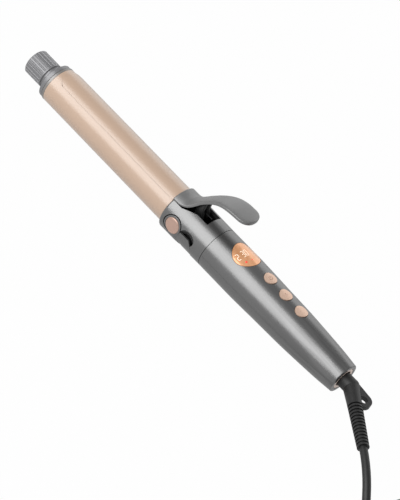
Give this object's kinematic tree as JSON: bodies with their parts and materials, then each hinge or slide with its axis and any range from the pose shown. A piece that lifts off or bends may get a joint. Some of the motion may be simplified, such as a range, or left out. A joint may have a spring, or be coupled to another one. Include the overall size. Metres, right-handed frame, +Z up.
{
  "type": "curling iron",
  "caption": "Curling iron with a spring clamp and thumb lever, fold-out rest, digital display and swivel mains lead put away in a tied coil.",
  "frame": {"origin": "middle of the folded rest's flat foot, on the surface that the iron rests on, under the barrel's axis", "axes": "+X along the barrel's axis from the cool tip towards the lead, +Y to the iron's left, +Z up through the clamp, display and buttons"},
  "size_m": [0.5845, 0.1227, 0.0652],
  "materials": {
    "champagne_coat": "satin ceramic-look coating",
    "champagne_steel": "satin ceramic-look coating on sheet steel",
    "grey_metallic": "satin metallic grey moulding",
    "tip_grey": "satin metallic grey moulding",
    "lever_grey": "satin metallic grey moulding",
    "silver_trim": "bright turned ring",
    "rose_gold": "satin metallised rose gold",
    "rose_trim": "metallised rose gold ring",
    "amber_lens": "tinted glossy window",
    "black_rubber": "soft matt",
    "black_plastic": "matt moulding",
    "stand_grey": "satin metallic grey moulding",
    "bare_aluminium": "extruded",
    "ceramic_element": "fired ceramic look",
    "heat_moulding": "glass-filled heat-proof moulding",
    "steel_parts": "plated steel",
    "black_steel": "blackened steel",
    "board_green": "solder resist",
    "chip_black": "moulded package",
    "module_black": "display block",
    "capacitor_yellow": "boxed film capacitor",
    "brass_contact": "stamped and turned brass",
    "wire_jacket": "woven glass sleeve and silicone",
    "glass_bead": "glass bead"
  },
  "bodies": {
    "handle": {"barrel_tube": "champagne_coat", "cool_tip": "tip_grey", "tip_ring": "silver_trim", "heater_segment_top": "bare_aluminium", "heater_segment_bottom": "bare_aluminium", "heating_element": "ceramic_element", "thermistor": "glass_bead", "thermal_fuse": "steel_parts", "inner_frame": "heat_moulding", "hinge_bracket": "black_steel", "bracket_screws": "steel_parts", "hinge_pin": "black_steel", "clamp_spring": "black_steel", "stand_pins": "steel_parts", "collar": "grey_metallic", "handle_top_shell": "grey_metallic", "handle_bottom_shell": "grey_metallic", "shell_screws": "steel_parts", "display_lens": "amber_lens", "end_ring": "rose_trim", "circuit_board": "board_green", "board_screws": "steel_parts", "display_module": "module_black", "button_switches": "chip_black", "controller_chip": "chip_black", "film_capacitor": "capacitor_yellow", "triac": "chip_black", "heat_sink": "bare_aluminium", "heater_leads": "wire_jacket", "mains_leads": "wire_jacket", "swivel_bush": "black_plastic", "contact_holder": "black_plastic", "contact_blades": "brass_contact"},
    "clamp": {"clamp_shell": "champagne_steel", "clamp_lever": "lever_grey", "lever_rivets": "steel_parts"},
    "stand": {"stand": "stand_grey", "stand_caps": "rose_gold"},
    "power_button": {"power_button": "rose_gold"},
    "heat_up_button": {"heat_up_button": "rose_gold"},
    "heat_down_button": {"heat_down_button": "rose_gold"},
    "cord": {"swivel_elbow": "black_rubber", "strain_relief": "black_rubber", "slip_rings": "brass_contact", "lead_cord": "black_rubber", "lead_coil": "black_rubber", "lead_tail": "black_rubber", "cord_tie": "black_plastic", "plug_body": "black_rubber", "plug_blades": "brass_contact"}
  },
  "joints": [
    {"name": "clamp_hinge", "type": "hinge", "parent": "handle", "child": "clamp", "pos_m": [-0.0093, 0, 0.0325], "axis": [0, 1, 0], "range_deg": [0, 30], "stiffness_Nm_per_rad": 0.6, "springref_deg": -34.38},
    {"name": "stand_hinge", "type": "hinge", "parent": "handle", "child": "stand", "pos_m": [-0.0179, 0, 0.019], "axis": [0, 1, 0], "range_deg": [0, 60]},
    {"name": "power_button_press", "type": "slide", "parent": "handle", "child": "power_button", "axis": [0, 0, -1], "range_m": [0, 0.0005], "stiffness_N_per_m": 300, "springref_m": -0.003},
    {"name": "heat_up_button_press", "type": "slide", "parent": "handle", "child": "heat_up_button", "axis": [0, 0, -1], "range_m": [0, 0.0005], "stiffness_N_per_m": 300, "springref_m": -0.003},
    {"name": "heat_down_button_press", "type": "slide", "parent": "handle", "child": "heat_down_button", "axis": [0, 0, -1], "range_m": [0, 0.0005], "stiffness_N_per_m": 300, "springref_m": -0.003},
    {"name": "lead_swivel", "type": "hinge", "parent": "handle", "child": "cord", "pos_m": [0.152, 0, 0.019], "axis": [1, 0, 0], "continuous": true}
  ]
}
